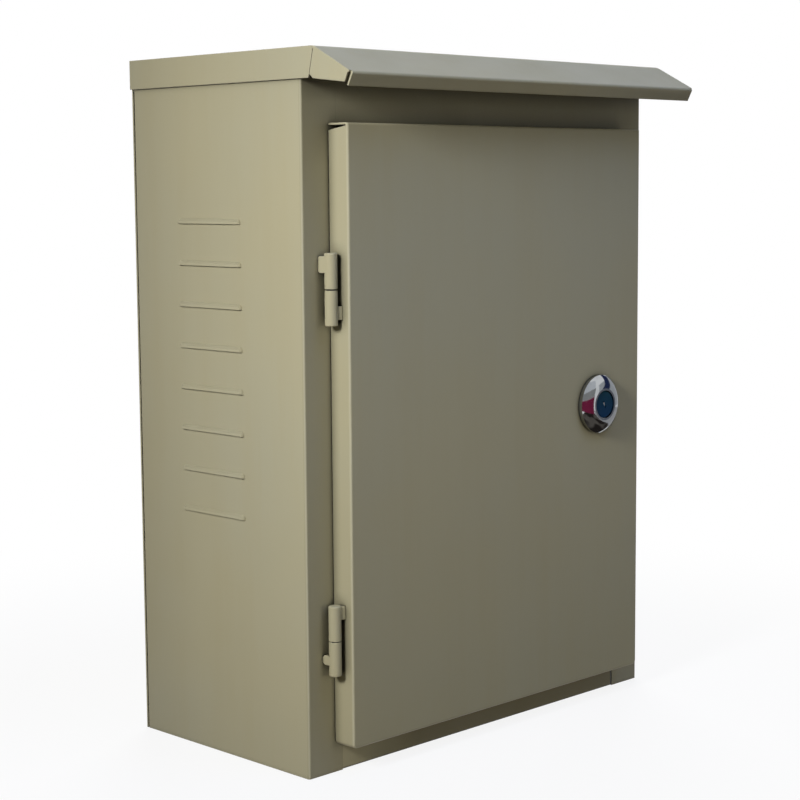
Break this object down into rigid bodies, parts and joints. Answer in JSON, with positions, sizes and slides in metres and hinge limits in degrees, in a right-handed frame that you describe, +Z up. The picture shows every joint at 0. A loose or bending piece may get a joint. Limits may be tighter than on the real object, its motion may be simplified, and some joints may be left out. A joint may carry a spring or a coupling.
{
  "type": "roadside utility cabinet",
  "caption": "Outdoor sheet-steel utility cabinet with rain hood, hinged tray door, cam lock, side louvres and an inner mounting plate.",
  "frame": {"origin": "middle of the flat underside of the body", "axes": "+Z up, -Y out of the front (door side), +X to the right seen from the front, +Y into the wall"},
  "size_m": [0.3032, 0.1915, 0.4092],
  "materials": {
    "paint": "semi-gloss powder coat, beige grey",
    "chrome": "polished",
    "blue_plastic": "gloss",
    "rubber": "matt",
    "foam": "matt foam",
    "zinc_plate": "galvanised",
    "zinc_fastener": "zinc plated",
    "lock_steel": "satin"
  },
  "bodies": {
    "cabinet": {"left_side_panel": "paint", "right_side_panel": "paint", "top_panel": "paint", "bottom_panel": "paint", "back_panel": "paint", "rain_hood": "paint", "upper_hinge_frame_leaf": "paint", "upper_hinge_pin": "zinc_fastener", "lower_hinge_frame_leaf": "paint", "lower_hinge_pin": "zinc_fastener", "mounting_plate": "zinc_plate", "mounting_studs": "zinc_fastener", "mounting_washers": "zinc_fastener", "mounting_nuts": "zinc_fastener", "body_earth_stud": "zinc_fastener", "body_earth_washer": "zinc_fastener", "body_earth_nut": "zinc_fastener"},
    "door": {"door_panel": "paint", "door_gasket": "foam", "upper_hinge_door_leaf": "paint", "lower_hinge_door_leaf": "paint", "lock_housing": "chrome", "lock_seal": "rubber", "lock_nut": "zinc_fastener", "door_earth_stud": "zinc_fastener", "door_earth_washer": "zinc_fastener", "door_earth_nut": "zinc_fastener"},
    "lock": {"lock_plug": "lock_steel", "lock_cap": "blue_plastic", "lock_cam": "zinc_fastener", "lock_cam_washer": "zinc_fastener", "lock_cam_screw": "zinc_fastener"}
  },
  "joints": [
    {"name": "door_swing", "type": "hinge", "parent": "cabinet", "child": "door", "pos_m": [-0.1354, -0.082, 0.178], "axis": [0, 0, -1], "range_deg": [0, 120]},
    {"name": "lock_turn", "type": "hinge", "parent": "door", "child": "lock", "pos_m": [0.0872, -0.0906, 0.1948], "axis": [0, -1, 0], "range_deg": [0, 90]}
  ]
}
